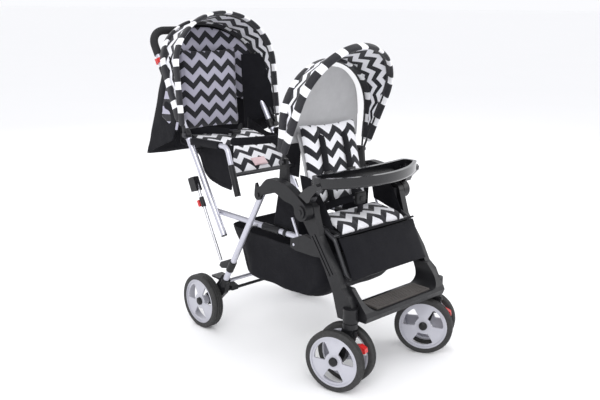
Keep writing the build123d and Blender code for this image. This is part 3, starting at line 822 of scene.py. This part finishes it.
def panel(name, sign, x, top, bottom, body):
    """Side panel between an upper and a lower side-view line, slightly slack."""
    def place(u, v):
        high, _ = line_point(top, u)
        low, _ = line_point(bottom, u)
        spot = low.lerp(high, v)
        slack = 0.004 * math.sin(math.pi * v) * math.sin(math.pi * u)
        return Vector((sign * (x + slack * 0.4), spot.x, spot.y))

    piece = grid(name, place, 36, 16, M["black_cloth"])
    crumple(piece, 0.0008, 40.0, 2.0)
    width = math.dist(top[0], top[-1]) * 1.25
    thicken(piece, 0.0014)
    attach(piece, body)
    return piece


for side, sign in (("right", -1), ("left", 1)):
    panel(f"rear_side_sheet_{side}", sign, PANEL_X,
                             [mm(566, 604), mm(660, 600), mm(744, 594), mm(856, 640)],
                             [mm(578, 462), mm(627, 465), mm(690, 478), mm(722, 500), mm(744, 560),
                              mm(858, 578)],
                             "handle_frame")
    panel(f"front_side_sheet_{side}", sign, PANEL_X,
                              [mm(122, 430), mm(150, 480), mm(212, 560), mm(260, 560)],
                              [mm(126, 425), mm(165, 430), mm(200, 441), mm(234, 450)],
                              "seat_frame")
    hem = ribbon(f"rear_side_hem_{side}", [(sign * HEM_X, *mm(580, 463)), (sign * HEM_X, *mm(628, 466)),
                                            (sign * HEM_X, *mm(690, 479)), (sign * HEM_X, *mm(720, 500)),
                                            (sign * HEM_X, *mm(744, 560)), (sign * HEM_X, *mm(856, 579))],
                 0.006, 0.0026, M["web"], (0, -0.45, 0.9))
    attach(hem, "handle_frame")
    sleeve = ribbon(f"rear_rail_sleeve_{side}",
                    [(sign * RAIL_X, *mm(738, 600.5)), (sign * RAIL_X, *mm(660, 603)),
                     (sign * RAIL_X, *mm(590, 605))],
                    0.0105, 0.021, M["black_cloth"])
    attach(sleeve, "handle_frame")
    panel(f"front_rear_sheet_{side}", sign, REAR_CLOTH_X, [mm(258, 500), mm(300, 506), mm(350, 500)],
          [mm(262, 388), mm(310, 386), mm(372, 388)], "seat_frame")
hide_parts("rear_side_panels")
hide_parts("front_side_panels")


# Bumper bar and harness ----------------------------------------------------------------
def bumper_bar():
    """Padded band round the front of the rear seat."""
    steps, ring = 60, 16
    points = []
    for k in range(steps + 1):
        share = k / steps
        turn = math.radians(-29.3 + 58.6 * share)
        centre = Vector((0.3515 * math.sin(turn), mm(506.5 + 351.5, 0)[0] - 0.3515 * math.cos(turn), 0.621))
        out = Vector((math.sin(turn), -math.cos(turn), 0))
        close = 0.6 if k in (0, steps) else 1.0
        for i in range(ring):
            angle = 2 * math.pi * i / ring
            flat = math.copysign(abs(math.cos(angle)) ** 0.75, math.cos(angle)) * 0.0062 * close
            tall = math.copysign(abs(math.sin(angle)) ** 0.6, math.sin(angle)) * 0.0128 * close
            points.append(centre + out * flat + Vector((0, 0, tall)))
    faces = [(k * ring + i, k * ring + (i + 1) % ring, (k + 1) * ring + (i + 1) % ring, (k + 1) * ring + i)
             for k in range(steps) for i in range(ring)]
    faces.append(tuple(reversed(range(ring))))
    faces.append(tuple(steps * ring + i for i in range(ring)))
    return new_piece("rear_bumper_pad", points, faces, M["black_cloth"])


bumper = bumper_bar()
crumple(bumper, 0.0006, 60.0)
smoother(bumper)
finish_pad(bumper, "rear_bumper", ["rear_bumper"])

front_straps = []
for sign in (-1, 1):
    front_straps.append(ribbon("strap", [(sign * STRAP_X, *mm(225, 474)), (sign * STRAP_X, *mm(247, 560)),
                                         (sign * 0.049, *mm(269, 648)), (sign * 0.047, *mm(284, 668))],
                               0.0125, 0.0022, M["web"]))
    front_straps.append(rounded_block("adjuster", (sign * STRAP_X, *mm(240, 548)), (0.034, 0.006, 0.026),
                                      M["black"], math.radians(-14), 0.0025))
shoulder = joined("shoulder_harness", front_straps)
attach(shoulder, "front_backrest")
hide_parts("shoulder_straps")

lap = [ribbon("lap", [(sign * 0.100, *mm(222, 458)), (sign * 0.062, *mm(190, 478)),
                      (sign * 0.024, *mm(163, 492))],
              0.011, 0.0022, M["web"], (0, 0.3, 1)) for sign in (-1, 1)]
lap.append(ribbon("crotch", [(0, *mm(160, 441)), (0, *mm(156, 458)), (0, *mm(158, 476))],
                  0.0125, 0.0024, M["web"]))
lap.append(rounded_block("buckle", (0, *mm(158, 488)), (0.040, 0.012, 0.036), M["black"], 0.0, 0.004))
lap.append(rounded_block("button", (0, *mm(151.5, 487)), (0.016, 0.004, 0.014), M["black"], 0.0, 0.0015))
harness = joined("crotch_and_lap_harness", lap)
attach(harness, "seat_frame")
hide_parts("crotch_harness")

rear_lap = [ribbon("rear_lap", [(sign * 0.118, *mm(850, 607)), (sign * 0.07, *mm(800, 618)),
                                (sign * 0.02, *mm(752, 614))],
                   0.011, 0.0022, M["web"], (0, 0.2, 1)) for sign in (-1, 1)]
rear_lap.append(rounded_block("rear_buckle", (0, *mm(748, 612)), (0.036, 0.034, 0.012),
                              M["black"], 0.0, 0.004))
rear_harness = joined("rear_lap_harness", rear_lap)
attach(rear_harness, "handle_frame")

pale = cushion("rear_crotch_pad", [mm(602, 519), mm(628, 541)], 0.030, 0.012, M["pale_cloth"], 18, 14,
               squareness=3.0, pull=0.001)
smoother(pale)
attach(pale, "handle_frame")


# Basket ------------------------------------------------------------------------------
def basket_shell():
    """Cloth tub that sags between its hem and its floor."""
    levels = [(0.348, 128, 588), (0.334, 127, 587), (0.300, 125.5, 566), (0.262, 124, 541), (0.235, 150, 524),
              (0.214, 172, 511), (0.204, 184, 500), (0.203, 214, 470), (0.2035, 274, 410)]
    ring = 96
    points = []
    for index, (level, front, rear) in enumerate(levels):
        share = index / (len(levels) - 1)
        half = 0.168 - 0.010 * math.sin(math.pi * min(share * 1.5, 1.0)) - (0.035 if index == 7 else 0)
        half -= 0.09 if index == 8 else 0
        middle = (mm(front, 0)[0] + mm(rear, 0)[0]) / 2
        reach = (rear - front) / 2000
        for i in range(ring):
            angle = 2 * math.pi * i / ring
            x = math.copysign(abs(math.cos(angle)) ** 0.28, math.cos(angle)) * half
            y = math.copysign(abs(math.sin(angle)) ** 0.28, math.sin(angle)) * reach
            dip = 0.004 * math.sin(angle * 9) * math.sin(math.pi * share) if 0 < index < 6 else 0
            points.append((x * (1 + dip * 4), middle + y * (1 + dip), level))
    faces = [(k * ring + i, k * ring + (i + 1) % ring, (k + 1) * ring + (i + 1) % ring, (k + 1) * ring + i)
             for k in range(len(levels) - 1) for i in range(ring)]
    last = (len(levels) - 1) * ring
    faces.append(tuple(last + i for i in range(ring)))
    return new_piece("basket_tub", points, faces, M["black_cloth"])


basket = basket_shell()
smoother(basket, 2)
applied(basket)
crumple(basket, 0.0035, 16.0, 7.0)
thicken(basket, 0.0016)
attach(basket, "seat_frame")
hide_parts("basket")
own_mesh(basket)


# Stage -----------------------------------------------------------------------------
FLOOR_HALF = 400.0              # far enough for its edge to meet the sky
floor = grid("floor", lambda u, v: Vector((2 * u - 1, 2 * v - 1, 0)) * FLOOR_HALF, 2, 2, M["black"])
paint = Nodes("pale_floor")
paint.link(paint.tint(paint.noise(0.6), (0.96, 0.96, 0.965), (0.98, 0.98, 0.985)),
           paint.shader.inputs["Base Color"])
paint.shader.inputs["Roughness"].default_value = 0.8
floor.data.materials.clear()
floor.data.materials.append(paint.material)

world = bpy.data.worlds.new("studio")
world.use_nodes = True
world.node_tree.nodes["Background"].inputs[0].default_value = (0.97, 0.975, 1.0, 1)
world.node_tree.nodes["Background"].inputs[1].default_value = 1.0
bpy.context.scene.world = world


def softbox(name, spot, target, size, power):
    light = bpy.data.lights.new(name, "AREA")
    light.shape = "RECTANGLE"
    light.size, light.size_y = size
    light.energy = power
    lamp = bpy.data.objects.new(name, light)
    lamp.location = spot
    lamp.rotation_euler = (Vector(target) - Vector(spot)).to_track_quat("-Z", "Y").to_euler()
    bpy.context.scene.collection.objects.link(lamp)


softbox("key", (-2.4, -2.0, 2.8), (0, 0, 0.5), (2.2, 2.2), 60)
softbox("fill", (2.6, -1.6, 1.8), (0, 0, 0.5), (2.0, 2.0), 28)
softbox("back", (0.6, 3.0, 2.6), (0, 0, 0.6), (2.4, 1.6), 40)

CAMERA_SPOT = (-1.638, -1.321 - ORIGIN_Y, 1.030)
CAMERA_TURN = -43.32            # degrees, about Z
CAMERA_DIP = 14.06
CAMERA_ROLL = 0.51
camera = bpy.data.cameras.new("view")
camera.sensor_width = 36.0
camera.lens = 46.27
camera.clip_end = 2000.0
eye = bpy.data.objects.new("view", camera)
eye.matrix_world = (Matrix.Translation(CAMERA_SPOT)
                    @ Matrix.Rotation(math.radians(CAMERA_TURN), 4, "Z")
                    @ Matrix.Rotation(math.radians(90 - CAMERA_DIP), 4, "X")
                    @ Matrix.Rotation(math.radians(CAMERA_ROLL), 4, "Z"))
bpy.context.scene.collection.objects.link(eye)
bpy.context.scene.camera = eye
bpy.context.scene.view_settings.view_transform = "Standard"
